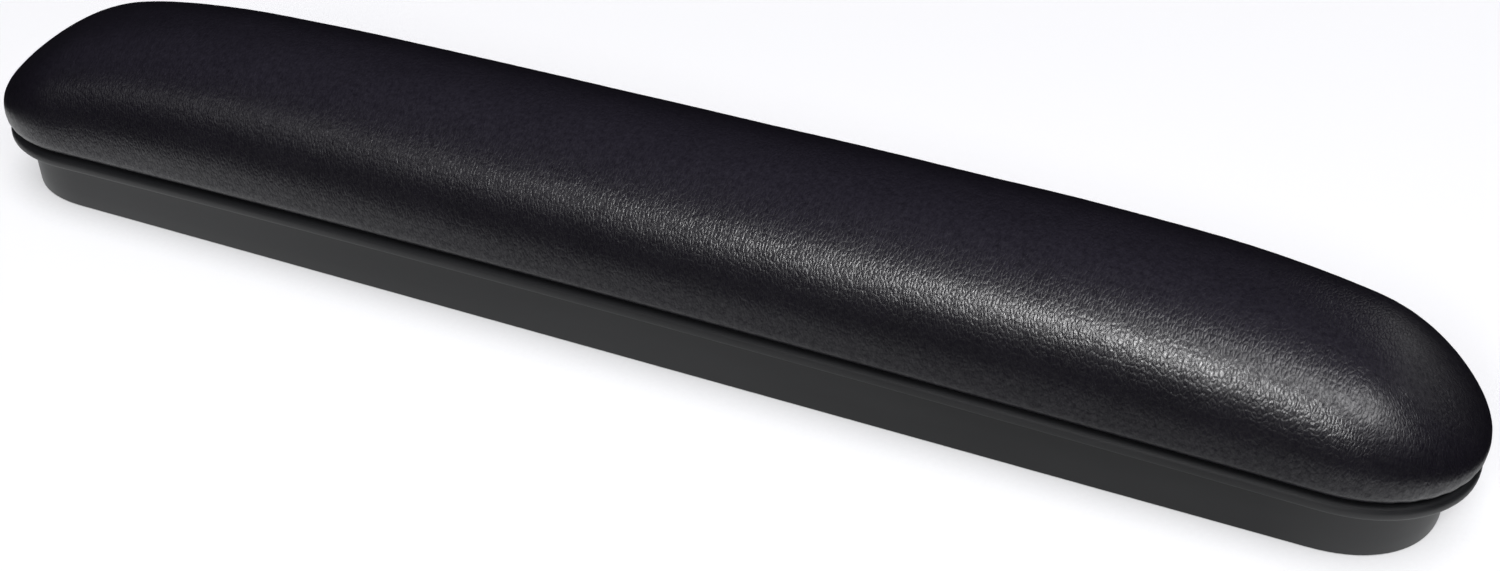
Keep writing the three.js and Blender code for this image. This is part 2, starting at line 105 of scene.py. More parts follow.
def at_height(plan, height):
    return np.c_[plan, np.full(len(plan), height)]


def crown_share(x):
    return 1 - END_DROP * np.abs(x / HALF_LENGTH) ** END_DROP_POWER


def dome_ring(turn, inset, steps):
    """One ring of the crowned top, from 0 at the widest line to 1 at the crown."""
    spread = max(0.0, math.cos(turn * math.pi / 2)) ** (2 / CROWN_POWER)
    rise = math.sin(turn * math.pi / 2) ** (2 / CROWN_POWER)
    plan = cover_plan(inset, steps)
    if turn == 1:
        spread = 0.0
    spine = np.clip(plan[:, 0], -SPINE_HALF, SPINE_HALF)
    x = spine + spread * (plan[:, 0] - spine)
    crown = (CROWN_RISE - TUCK_RADIUS) * crown_share(x) - inset
    return np.c_[x, spread * plan[:, 1], seam_height(x) + TUCK_RADIUS + crown * rise]


def even_turns(count):
    """Turns from 0 to 1 that divide the middle cross-section into equal lengths."""
    fine = np.linspace(0, 1, 2001)
    angle = fine * np.pi / 2
    y = HALF_WIDTH * np.clip(np.cos(angle), 0, 1) ** (2 / CROWN_POWER)
    z = (CROWN_RISE - TUCK_RADIUS) * np.sin(angle) ** (2 / CROWN_POWER)
    length = np.r_[0, np.cumsum(np.hypot(np.diff(y), np.diff(z)))]
    turns = np.interp(np.linspace(0, length[-1], count + 1), length, fine)
    turns[-1] = 1
    return turns


# ---- Mesh helpers

def new_object(name, mesh):
    made = bpy.data.objects.new(name, mesh)
    bpy.context.scene.collection.objects.link(made)
    return made


def mesh_from(name, points, faces):
    mesh = bpy.data.meshes.new(name)
    mesh.from_pydata([tuple(p) for p in points], [], faces)
    mesh.update()
    return mesh


def ring_faces(levels, count):
    """Quads between matching rings, facing out when the rings climb the outside."""
    faces = []
    for level in range(levels - 1):
        low = level * count
        for i in range(count):
            j = (i + 1) % count
            faces.append((low + i, low + j, low + count + j, low + count + i))
    return faces


def lofted(name, rings):
    """Mesh through matching rings."""
    return mesh_from(name, np.vstack(rings), ring_faces(len(rings), len(rings[0])))


def weld(mesh, distance=0.001 * MM):
    """Joins points closer than distance, which closes gathered and matching rings."""
    work = bmesh.new()
    work.from_mesh(mesh)
    bmesh.ops.remove_doubles(work, verts=work.verts, dist=distance)
    bmesh.ops.dissolve_degenerate(work, edges=work.edges, dist=distance / 10)
    work.to_mesh(mesh)
    work.free()
    mesh.update()


def smooth(mesh):
    mesh.polygons.foreach_set("use_smooth", np.ones(len(mesh.polygons), bool))


def smooth_between_edges(mesh, sharp_angle):
    """Smooth shading that stops at edges sharper than an angle in degrees."""
    smooth(mesh)
    mesh.set_sharp_from_angle(angle=math.radians(sharp_angle))


def coordinates(mesh):
    flat = np.zeros(3 * len(mesh.vertices))
    mesh.vertices.foreach_get("co", flat)
    return flat.reshape(-1, 3)


def set_coordinates(mesh, points):
    mesh.vertices.foreach_set("co", np.ascontiguousarray(points, np.float32).ravel())
    mesh.update()


def vertex_normals(mesh):
    flat = np.zeros(3 * len(mesh.vertices))
    mesh.vertex_normals.foreach_get("vector", flat)
    return flat.reshape(-1, 3)


def smoothstep(value, low, high):
    share = np.clip((value - low) / (high - low), 0, 1)
    return share * share * (3 - 2 * share)


# ---- Cover: how the vinyl swells over the foam, by cloth simulation

SIM_STEPS = (14, 40)  # of the outline's ends and sides
SIM_DOME = 12
SIM_UNDERSIDE = 0.9  # how far in the underside reaches, as a share of the half width
SIM_CORNER = 0.3  # how far along the tucked edge its one ring sits
SIM_VOXEL = 4 * MM
SIM_FRAMES = 20
SIM_QUALITY = 6
SIM_PRESSURE = 4
SIM_MASS = 0.1
SIM_STRETCH = 15
SIM_BEND = 2
SIM_NEIGHBOURS = 8
HELD_BELOW = 0.8 * TUCK_RADIUS
FREE_ABOVE = 2.4 * TUCK_RADIUS
SWELL = 0.05 * MM  # the blown-up shape starts this much too small at the crown
SWELL_TURNS = (0.05, 0.35)  # dome turns between which SWELL sets in
SWELL_CAP = 0.5 * MM


def start_inset(turn):
    """How far a dome ring starts inside its final place: nothing where it is held."""
    return SWELL * float(smoothstep(turn, *SWELL_TURNS))


def closed_pad():
    """Closed body inside the cover, from its underside to the crown."""
    rings = [
        from_seam(cover_plan(HALF_WIDTH * SIM_UNDERSIDE, SIM_STEPS), 0),
        from_seam(cover_plan(TUCK_RADIUS, SIM_STEPS), 0),
        from_seam(cover_plan(TUCK_RADIUS * SIM_CORNER, SIM_STEPS), TUCK_RADIUS * SIM_CORNER),
    ]
    for turn in even_turns(SIM_DOME):
        rings.append(dome_ring(turn, start_inset(turn), SIM_STEPS))
    mesh = lofted("pad_body", rings)
    weld(mesh)
    work = bmesh.new()
    work.from_mesh(mesh)
    bmesh.ops.holes_fill(work, edges=[e for e in work.edges if e.is_boundary])
    bmesh.ops.recalc_face_normals(work, faces=work.faces)
    work.to_mesh(mesh)
    work.free()
    return mesh


def evaluated_mesh(obj):
    graph = bpy.context.evaluated_depsgraph_get()
    return bpy.data.meshes.new_from_object(obj.evaluated_get(graph))


def swell_field():
    """Places on the pad before the simulation, and how far the cloth moved each."""
    body = new_object("pad_body", closed_pad())
    remesh = body.modifiers.new("remesh", "REMESH")
    remesh.mode = "VOXEL"
    remesh.voxel_size = SIM_VOXEL
    start = evaluated_mesh(body)
    cloth_object = new_object("pad_cloth", start)
    before = coordinates(start)
    height = before[:, 2] - seam_height(before[:, 0])
    held = 1 - smoothstep(height, HELD_BELOW, FREE_ABOVE)
    pins = cloth_object.vertex_groups.new(name="pins")
    for index, weight in enumerate(held):
        if weight > 0:
            pins.add([index], float(weight), "REPLACE")
    cloth = cloth_object.modifiers.new("cloth", "CLOTH")
    settings = cloth.settings
    settings.quality = SIM_QUALITY
    settings.mass = SIM_MASS
    settings.tension_stiffness = SIM_STRETCH
    settings.compression_stiffness = SIM_STRETCH
    settings.bending_stiffness = SIM_BEND
    settings.vertex_group_mass = "pins"
    settings.use_pressure = True
    settings.uniform_pressure_force = SIM_PRESSURE
    settings.effector_weights.gravity = 0
    cloth.collision_settings.use_self_collision = False
    for number in range(1, SIM_FRAMES + 1):
        bpy.context.scene.frame_set(number)
    blown = evaluated_mesh(cloth_object)
    moved = coordinates(blown) - before
    bpy.context.scene.frame_set(1)
    for used in (cloth_object, body):
        bpy.data.objects.remove(used)
    length = np.linalg.norm(moved, axis=1)
    moved *= (np.minimum(length, SWELL_CAP) / np.maximum(length, 1e-9))[:, None]
    print("swell mm: mean %.3f most %.3f" % (length.mean() / MM, length.max() / MM))
    return before, moved


def carried(points, before, moved):
    """The simulated movement at other points, from the nearest simulated ones."""
    tree = kdtree.KDTree(len(before))
    for index, place in enumerate(before):
        tree.insert(place, index)
    tree.balance()
    out = np.zeros_like(points)
    for row, point in enumerate(points):
        found = tree.find_n(point, SIM_NEIGHBOURS)
        weight = np.array([math.exp(-((hit[2] / SIM_VOXEL) ** 2)) for hit in found])
        index = [hit[1] for hit in found]
        out[row] = weight @ moved[index] / weight.sum()
    return out


# ---- Cover: the fine skin

SKIN_STEPS = (96, 360)
SKIN_DOME = 50
SKIN_TUCK = 8
SKIN_WELD = 0.002 * MM
HEM_SHARES = (0, 0.35, 0.7)  # where the hem's rings lie, from its inner edge outwards
INNER_DOME = 9
INNER_TUCK = 3
FAN_RAYS = (0.2, 0.7)  # how far along X a ray points where fan starts to count, and is full
FAN_DROP = (7 * MM, 17 * MM)  # the same, by the way down from the crown
RELIEF_LOW = 0.5 * TUCK_RADIUS
RELIEF_FULL = 2.5 * TUCK_RADIUS
CREASE_WIDTH = 2.6 * MM
CREASE_LENGTH = 6 * MM
CREASE_POWER = 4
CREASE_DEPTH = 0.03 * MM
WAVE_SIZE = 19 * MM
WAVE_DEPTH = 0.10 * MM
PUCKER_DEPTH = 0.16 * MM
PUCKER_PITCH = 4.6 * MM
PUCKER_REACH = 0.9 * TUCK_RADIUS
PUCKER_WANDER = 5  # radians that the broad waves shift the puckers by


def outer_rings():
    """Rings of the skin's outside, from the hem's inner edge out, up and over."""
    rings = []
    for share in HEM_SHARES:
        rings.append(from_seam(cover_plan(TUCK_RADIUS + HEM_WIDTH * (1 - share), SKIN_STEPS), 0))
    for step in range(SKIN_TUCK, 0, -1):
        angle = step / SKIN_TUCK * math.pi / 2
        plan = cover_plan(TUCK_RADIUS * (1 - math.cos(angle)), SKIN_STEPS)
        rings.append(from_seam(plan, TUCK_RADIUS * (1 - math.sin(angle))))
    for turn in even_turns(SKIN_DOME):
        inset = start_inset(turn)
        rings.append(dome_ring(turn, inset, SKIN_STEPS))
    return np.array(rings)


def inner_rings():
    """Rings of the skin's inside, from the crown back down to the hem."""
    rings = []
    for turn in even_turns(INNER_DOME)[::-1]:
        rings.append(dome_ring(turn, VINYL_THICKNESS, SKIN_STEPS))
    radius = TUCK_RADIUS - VINYL_THICKNESS
    for step in range(1, INNER_TUCK + 1):
        angle = step / INNER_TUCK * math.pi / 2
        plan = cover_plan(TUCK_RADIUS - radius * math.cos(angle), SKIN_STEPS)
        rings.append(from_seam(plan, TUCK_RADIUS - radius * math.sin(angle)))
    rings.append(from_seam(cover_plan(TUCK_RADIUS + HEM_WIDTH, SKIN_STEPS), VINYL_THICKNESS))
    return np.array(rings)


def sheet_places(rings):
    """Where each point lies on the vinyl when it is spread flat, in two ways, and the outline.

    flat is (along, across) from the crown line, which suits the straight part. fan is wound
    round the outline, with the way down from the crown third, and suits the ends. blend is
    how much of fan to use. The last two are, for each step of a ring, how far it lies along
    the outline and how much it belongs to an end.
    """
    steps = np.linalg.norm(np.diff(rings, axis=0), axis=2)
    down = np.vstack([np.cumsum(steps[::-1], axis=0)[::-1], np.zeros(rings.shape[1])])
    plan = cover_plan(0, SKIN_STEPS)
    spine = np.clip(plan[:, 0], -SPINE_HALF, SPINE_HALF)
    ray = plan - np.c_[spine, np.zeros(len(plan))]
    ray /= np.linalg.norm(ray, axis=1)[:, None]
    flat = np.stack([spine + down * ray[:, 0], down * ray[:, 1], 0 * down], axis=2)
    sides = np.linalg.norm(np.roll(plan, -1, axis=0) - plan, axis=1)
    turn = 2 * np.pi * np.r_[0, np.cumsum(sides)[:-1]] / sides.sum()
    radius = sides.sum() / (2 * np.pi)
    wound = np.stack([radius * np.cos(turn), radius * np.sin(turn)], axis=1)
    fan = np.dstack([np.broadcast_to(wound, (*down.shape, 2)), down])
    in_end = smoothstep(np.abs(ray[:, 0]), *FAN_RAYS)
    blend = in_end * smoothstep(down, *FAN_DROP)
    return flat.reshape(-1, 3), fan.reshape(-1, 3), blend.ravel(), turn * radius, in_end


def ridged(places, sizes):
    """Narrow ridges of noise, 1 on the ridge lines, with the given sizes along each axis."""
    scaled = places / np.array(sizes)
    return np.array([1 - abs(noise.noise(Vector(p))) for p in scaled]) ** CREASE_POWER


def waves(places, size):
    return np.array([noise.noise(Vector(p)) for p in places / size])


def cover_skin():
    """The vinyl cover as one closed skin, with the simulated swell and its creases."""
    rings, inner = outer_rings(), inner_rings()
    flat, fan, blend, outline, in_end = sheet_places(rings)
    points = rings.reshape(-1, 3)
    points = points + carried(points, *swell_field())
    straight = ridged(flat, (CREASE_WIDTH, CREASE_LENGTH, 1))
    fanned = ridged(fan, (CREASE_WIDTH, CREASE_WIDTH, CREASE_LENGTH))
    creases = straight * (1 - blend) + fanned * blend
    broad = waves(points, WAVE_SIZE)
    height = points[:, 2] - seam_height(points[:, 0])
    on_dome = smoothstep(height, RELIEF_LOW, RELIEF_FULL)
    relief = on_dome * (WAVE_DEPTH * broad - CREASE_DEPTH * creases)
    phase = 2 * np.pi * np.tile(outline, len(rings)) / PUCKER_PITCH
    pucker = np.cos(phase + PUCKER_WANDER * broad)
    low = np.exp(-((height / PUCKER_REACH) ** 2))
    relief += PUCKER_DEPTH * low * np.tile(in_end, len(rings)) * (pucker - 1) / 2
    rings = points.reshape(rings.shape)
    mesh = lofted("cover_skin", [*inner, *rings])
    for name, kind, field, values in (
        ("flat", "FLOAT_VECTOR", "vector", flat),
        ("fan", "FLOAT_VECTOR", "vector", fan),
        ("fan_share", "FLOAT", "value", blend),
        ("relief", "FLOAT", "value", relief),
        ("creased", "FLOAT", "value", on_dome),
    ):
        padding = np.zeros((inner.shape[0] * inner.shape[1], *values.shape[1:]))
        layer = mesh.attributes.new(name, kind, "POINT")
        layer.data.foreach_set(field, np.concatenate([padding, values]).astype(np.float32).ravel())
    weld(mesh, SKIN_WELD)
    depth = np.zeros(len(mesh.vertices))
    mesh.attributes["relief"].data.foreach_get("value", depth)
    set_coordinates(mesh, coordinates(mesh) + depth[:, None] * vertex_normals(mesh))
    mesh.attributes.remove(mesh.attributes["relief"])
    smooth(mesh)
    return new_object("cover_skin", mesh)


# ---- Foam body, finer than its CAD solid

FOAM_INSET = 1.5 * MM
FOAM_LIP = 1.9 * MM
FOAM_STEPS = (48, 160)
FOAM_DOME = 30
FOAM_TUCK_SHARES = (1, 0.75, 0.5, 0.25)
FOAM_PIT_DEPTH = 0.18 * MM
FOAM_PIT_SIZE = 1.7 * MM
FOAM_SHARP_ANGLE = 40
BOARD_INSET = 3.4 * MM
BOARD_END_INSET = 8 * MM
BOARD_TOP = 8.5 * MM
NUT_FLANGE_DIAMETER = 19 * MM
NUT_FLANGE_THICKNESS = 1.2 * MM
NUT_HOLLOW_SIDES = 48


def foam_body():
    """Foam dome with a lip round the board, a hollow for each T-nut and a pitted skin."""
    inset, end_inset = BOARD_INSET - GAP, BOARD_END_INSET - GAP
    ceiling = BOARD_TOP + GAP
    hollow = oval(HALF_LENGTH - end_inset, HALF_WIDTH - inset, END_REACH - inset, END_POWER, *FOAM_STEPS)
    radius, drop = TUCK_RADIUS - FOAM_INSET, TUCK_RADIUS - FOAM_LIP
    rings = [gathered(hollow, ceiling), from_seam(hollow, ceiling), from_seam(hollow, FOAM_LIP)]
    for share in FOAM_TUCK_SHARES:
        bend = TUCK_RADIUS - math.sqrt(radius ** 2 - (share * drop) ** 2)
        rings.append(from_seam(cover_plan(bend, FOAM_STEPS), TUCK_RADIUS - share * drop))
    for turn in even_turns(FOAM_DOME):
        rings.append(dome_ring(turn, FOAM_INSET, FOAM_STEPS))
    mesh = lofted("foam_body", rings)
    weld(mesh)
    points = coordinates(mesh)
    height = points[:, 2] - seam_height(points[:, 0])
    on_dome = smoothstep(height, TUCK_RADIUS, 2 * TUCK_RADIUS) * (height > ceiling + GAP)
    pits = FOAM_PIT_DEPTH * on_dome * (0.5 + 0.5 * waves(points, FOAM_PIT_SIZE))
    set_coordinates(mesh, points - pits[:, None] * vertex_normals(mesh))
    body = new_object("foam_body", mesh)
    reliefs = []
    for x in (-MOUNT_PITCH, 0, MOUNT_PITCH):
        floor = seam_height(x) + BOARD_TOP
        top = floor + NUT_FLANGE_THICKNESS + 2 * GAP
        r = NUT_FLANGE_DIAMETER / 2 + GAP
        profile = [(0, floor), (r, floor), (r, top), (0, top)]
        reliefs.append(turned("relief", profile, NUT_HOLLOW_SIDES, x))
    combined(body, reliefs, "DIFFERENCE")
    smooth_between_edges(body.data, FOAM_SHARP_ANGLE)
    return body


# ---- Moulded base, finer than its CAD solid

WALL_SIDE_INSET = 4.2 * MM
WALL_END_INSET = 6.1 * MM
WALL_END_REACH = 22.6 * MM
WALL_END_POWER = 2.2
WALL_THICKNESS = 2.5 * MM
WALL_DRAFT = 0.3 * MM
DECK_TOP = -GAP
DECK_BOTTOM = DECK_TOP - 3.2 * MM
FLANGE_INSET = 0.5 * MM
FLANGE_ROUND = 1.6 * MM
FLANGE_UNDER_ROUND = 1.1 * MM
EDGE_ROUND = 0.5 * MM
CORNER_FILLET = 0.8 * MM
CHANNEL_OUTER = 8.0 * MM
CHANNEL_INNER = 13.0 * MM
CHANNEL_DEPTH = 0.9 * MM
BASE_STEPS = (40, 90)
BASE_WELD = 0.01 * MM  # joins the near-equal points that the cuts leave
BASE_SHARP_ANGLE = 32
ROUNDING_STEPS = 4
FILLET_STEPS = 5
FLANGE_STEPS = 7
WALL_SHARES = (0.33, 0.66)  # where the wall's rings lie between its foot and the deck
RIB_THICKNESS = 1.8 * MM
RIB_TAPER = 0.25 * MM
RIB_EDGE = 0.35 * MM
RIB_RIM_GAP = 1.5 * MM
RIB_PITCH = 31.75 * MM
RIBS_EACH_WAY = 5
LONG_RIB_OFFSET = 8 * MM
LONG_RIB_HALF = 168.5 * MM
LONG_RIB_POINTS = 41
MOUNT_PITCH = 127 * MM
SCREW_OFFSETS = (31.75 * MM, 95.25 * MM, 142.9 * MM)
STANDOFF_TOP = 1.2 * MM
SCREW_SEAT = DECK_BOTTOM - 5 * MM
DECK_SINK = 1.1 * MM  # how far the ribs are sunk into the deck
ROUND_SIDES = 64
BOLT_BOSS_DIAMETER = 16 * MM
BOLT_BOSS_BEVEL = 0.3 * MM
BOLT_HOLE_DIAMETER = 7 * MM
BOLT_HOLE_CHAMFER = 0.4 * MM
SCREW_WELL_DIAMETER = 10.4 * MM
SCREW_HOLE_DIAMETER = 4.8 * MM
CUT_PAST = 1 * MM  # how far a cutter runs past the face it cuts


def wall_plan(inset):
    return oval(HALF_LENGTH - WALL_END_INSET - inset, HALF_WIDTH - WALL_SIDE_INSET - inset,
                WALL_END_REACH - inset, WALL_END_POWER, *BASE_STEPS)


def edge_plan(inset):
    return cover_plan(inset, BASE_STEPS)


def gathered(plan, level):
    """A plan drawn onto the centre line, which closes the surface there."""
    spine = np.clip(plan[:, 0], -SPINE_HALF, SPINE_HALF)
    return from_seam(np.c_[spine, np.zeros(len(spine))], level)


def quarter(steps):
    """(cosine, sine) of evenly spaced angles from 0 to 90 degrees."""
    angles = np.radians(np.linspace(0, 90, steps))
    return [(math.cos(a), math.sin(a)) for a in angles]


def tray_rings():
    """Deck, flange and wall of the base, from the deck's underside round to its top."""
    fillet, edge = CORNER_FILLET, EDGE_ROUND
    rings = [gathered(wall_plan(WALL_THICKNESS), DECK_BOTTOM)]
    for c, s in quarter(ROUNDING_STEPS):
        inset = WALL_THICKNESS - WALL_DRAFT + fillet * (1 - s)
        rings.append(from_seam(wall_plan(inset), DECK_BOTTOM - fillet * (1 - c)))
    for c, s in quarter(ROUNDING_STEPS):
        rings.append(at_height(wall_plan(WALL_THICKNESS - edge * (1 - c)), edge * (1 - s)))
    for c, s in quarter(ROUNDING_STEPS):
        rings.append(at_height(wall_plan(edge * (1 - s)), edge * (1 - c)))
    for share in WALL_SHARES:
        plan = wall_plan(-WALL_DRAFT * share)
        top = seam_height(plan[:, 0]) + DECK_BOTTOM - fillet
        rings.append(np.c_[plan, edge + (top - edge) * share])
    for c, s in quarter(FILLET_STEPS):
        plan = wall_plan(-WALL_DRAFT - fillet * (1 - c))
        rings.append(from_seam(plan, DECK_BOTTOM - fillet * (1 - s)))
    under = FLANGE_UNDER_ROUND
    for c, s in quarter(FILLET_STEPS):
        rings.append(from_seam(edge_plan(FLANGE_INSET + under * (1 - s)), DECK_BOTTOM + under * (1 - c)))
    for c, s in quarter(FLANGE_STEPS):
        plan = edge_plan(FLANGE_INSET + FLANGE_ROUND * (1 - c))
        rings.append(from_seam(plan, DECK_TOP - FLANGE_ROUND * (1 - s)))
    floor = DECK_TOP - CHANNEL_DEPTH
    rings.append(from_seam(edge_plan(CHANNEL_OUTER), DECK_TOP))
    rings.append(from_seam(edge_plan(CHANNEL_OUTER), floor))
    rings.append(from_seam(edge_plan(CHANNEL_INNER), floor))
    rings.append(from_seam(edge_plan(CHANNEL_INNER), DECK_TOP))
    rings.append(gathered(edge_plan(CHANNEL_INNER), DECK_TOP))
    return rings


def turned(name, profile, sides, x):
    """Closed mesh from a (radius, height) profile that starts and ends on an axis at (x, 0)."""
    work = bmesh.new()
    angles = [2 * math.pi * i / sides for i in range(sides)]
    rings = []
    for radius, height in profile:
        if radius == 0:
            rings.append([work.verts.new((x, 0, height))])
        else:
            rings.append([work.verts.new((x + radius * math.cos(a), radius * math.sin(a), height))
                          for a in angles])
    for low, high in zip(rings, rings[1:]):
        for i in range(sides):
            j = (i + 1) % sides
            corners = [low[i % len(low)], low[j % len(low)], high[j % len(high)], high[i % len(high)]]
            work.faces.new(list(dict.fromkeys(corners)))
    bmesh.ops.recalc_face_normals(work, faces=work.faces)
    mesh = bpy.data.meshes.new(name)
    work.to_mesh(mesh)
    work.free()
    return mesh


def boss(x, diameter, bottom, top, bevel):
    """Round boss with a softened lower edge."""
    r = diameter / 2
    rounding = [(r - bevel * (1 - s), bottom + bevel * (1 - c)) for c, s in quarter(ROUNDING_STEPS)]
    return turned("boss", [(0, bottom), *rounding, (r, top), (0, top)], ROUND_SIDES, x)


def hole(x, diameter, top, chamfer=0.0):
    """Cutter for a round hole up from under the rim, with a countersink at the rim's plane."""
    r = diameter / 2
    mouth = [(r + chamfer, -CUT_PAST), (r + chamfer, 0), (r, chamfer)]
    return turned("hole", [(0, -CUT_PAST), *mouth, (r, top), (0, top)], ROUND_SIDES, x)


def rib(points, tops, along_x):
    """Thin rib through points along one axis, narrower at its chamfered lower edge."""
    half = RIB_THICKNESS / 2
    low = half - RIB_TAPER
    bottom, shoulder = RIB_RIM_GAP, RIB_RIM_GAP + RIB_EDGE
    section = [(-half, None), (-low, shoulder), (-low + RIB_EDGE, bottom),
               (low - RIB_EDGE, bottom), (low, shoulder), (half, None)]
    work = bmesh.new()
    rows = []
    for (x, y), top in zip(points, tops):
        row = []
        for side, height in section:
            place = (x, y + side) if along_x else (x + side, y)
            row.append(work.verts.new((*place, top if height is None else height)))
        rows.append(row)
    for first, second in zip(rows, rows[1:]):
        for i in range(len(section)):
            j = (i + 1) % len(section)
            work.faces.new((first[i], first[j], second[j], second[i]))
    work.faces.new(rows[0])
    work.faces.new(rows[-1])
    bmesh.ops.recalc_face_normals(work, faces=work.faces)
    mesh = bpy.data.meshes.new("rib")
    work.to_mesh(mesh)
    work.free()
    return mesh


def inner_half_width(x):
    """Half the clear width inside the wall at a distance x from the middle."""
    width = HALF_WIDTH - WALL_SIDE_INSET - WALL_THICKNESS
    reach = WALL_END_REACH - WALL_THICKNESS
    past = max(0.0, abs(x) - (HALF_LENGTH - WALL_END_INSET - WALL_END_REACH)) / reach
    return width * (1 - past ** WALL_END_POWER) ** (1 / WALL_END_POWER)


def base_ribs():
    ribs = []
    for number in range(-RIBS_EACH_WAY, RIBS_EACH_WAY + 1):
        x = number * RIB_PITCH
        reach = inner_half_width(x) + WALL_THICKNESS / 2
        top = seam_height(x) + DECK_BOTTOM + DECK_SINK
        ribs.append(rib([(x, -reach), (x, reach)], [top, top], along_x=False))
    line = np.linspace(-LONG_RIB_HALF, LONG_RIB_HALF, LONG_RIB_POINTS)
    tops = seam_height(line) + DECK_BOTTOM + DECK_SINK
    for y in (-LONG_RIB_OFFSET, LONG_RIB_OFFSET):
        ribs.append(rib([(x, y) for x in line], tops, along_x=True))
    return ribs


def combined(body, others, operation):
    """Joins others to body, or cuts them out of it, one solid at a time."""
    for mesh in others:
        tool = new_object("tool", mesh)
        step = body.modifiers.new("step", "BOOLEAN")
        step.operation = operation
        step.solver = "MANIFOLD"
        step.object = tool
        result = evaluated_mesh(body)
        body.modifiers.remove(step)
        body.data = result
        bpy.data.objects.remove(tool)


def base_moulding():
    """The base as one solid: the tray, its ribs and bosses, and the holes through them."""
    mesh = lofted("base_moulding", tray_rings())
    weld(mesh)
    body = new_object("base_moulding", mesh)
    bosses, holes = [], []
    for x in (-MOUNT_PITCH, 0, MOUNT_PITCH):
        top = seam_height(x) + STANDOFF_TOP
        bosses.append(boss(x, BOLT_BOSS_DIAMETER, 0, top, BOLT_BOSS_BEVEL))
        holes.append(hole(x, BOLT_HOLE_DIAMETER, top + CUT_PAST, BOLT_HOLE_CHAMFER))
    for x in sorted([-s for s in SCREW_OFFSETS] + list(SCREW_OFFSETS)):
        top = seam_height(x) + STANDOFF_TOP
        seat = seam_height(x) + SCREW_SEAT
        bosses.append(boss(x, SCREW_WELL_DIAMETER, seat, top, 0.0))
        holes.append(hole(x, SCREW_WELL_DIAMETER, seat))
        holes.append(hole(x, SCREW_HOLE_DIAMETER, top + CUT_PAST))
    combined(body, base_ribs() + bosses, "UNION")
    combined(body, holes, "DIFFERENCE")
    weld(body.data, BASE_WELD)
    smooth_between_edges(body.data, BASE_SHARP_ANGLE)
    return body


# ---- Screws, with a rounded head, a cross recess and a thread

SCREW_SIDES = 36
SCREW_SHARP_ANGLE = 35
HEAD_PROFILE = (  # radius and height from the seat, in mm
    (0, -2.6), (1.5, -2.57), (2.4, -2.46), (3.1, -2.2), (3.6, -1.8), (3.87, -1.3),
    (4.0, -0.8), (4.0, -0.15), (3.87, 0), (2.0, 0), (1.6, 0.3),
)
THREAD_MINOR = 1.55 * MM
THREAD_MAJOR = 2.1 * MM
THREAD_PITCH = 1.6 * MM
THREAD_STEP = 0.16 * MM
THREAD_START = 0.62 * MM
THREAD_FLANK = 0.3  # half the width of the thread's ridge, as a share of the pitch
SCREW_LENGTH = 14 * MM
TIP_LENGTH = 3 * MM
TIP_BLUNT = 0.05  # the radius that is left at the tip, as a share
RECESS_WIDTH = 0.95 * MM
RECESS_SPAN = 4.3 * MM
RECESS_DEPTH = 1.3 * MM


def box_mesh(size, centre):
    work = bmesh.new()
    bmesh.ops.create_cube(work, size=1, matrix=Matrix.Translation(centre) @ Matrix.Diagonal((*size, 1)))
    mesh = bpy.data.meshes.new("box")
    work.to_mesh(mesh)
    work.free()
    return mesh


def pan_screw(x):
    """Self-tapping screw at (x, 0), driven up through the shell, with its head below."""
    seat = seam_height(x) + SCREW_SEAT
    angle = np.linspace(0, 2 * np.pi, SCREW_SIDES + 1)[:-1]

    def ring(radius, height):
        place = (x + np.cos(angle) * radius, np.sin(angle) * radius, np.full(SCREW_SIDES, seat + height))
        return np.stack(place, axis=1)

    rings = [ring(radius * MM, height * MM) for radius, height in HEAD_PROFILE]
    for height in np.arange(THREAD_START, SCREW_LENGTH, THREAD_STEP):
        phase = (height / THREAD_PITCH - angle / (2 * np.pi)) % 1
        ridge = np.clip(1 - np.abs(phase - 0.5) / THREAD_FLANK, 0, 1)
        narrowing = min(1, (SCREW_LENGTH - height) / TIP_LENGTH + TIP_BLUNT)
        rings.append(ring((THREAD_MINOR + (THREAD_MAJOR - THREAD_MINOR) * ridge) * narrowing, height))
    rings.append(ring(0, SCREW_LENGTH))
    mesh = lofted("pan_screw", rings)
    weld(mesh)
    screw = new_object("pan_screw", mesh)
    crown = Vector((x, 0, seat + HEAD_PROFILE[0][1] * MM))
    slots = [box_mesh((RECESS_SPAN, RECESS_WIDTH, 2 * RECESS_DEPTH), crown),
             box_mesh((RECESS_WIDTH, RECESS_SPAN, 2 * RECESS_DEPTH), crown)]
    combined(screw, slots, "DIFFERENCE")
    smooth_between_edges(screw.data, SCREW_SHARP_ANGLE)
    return screw


# ---- Materials

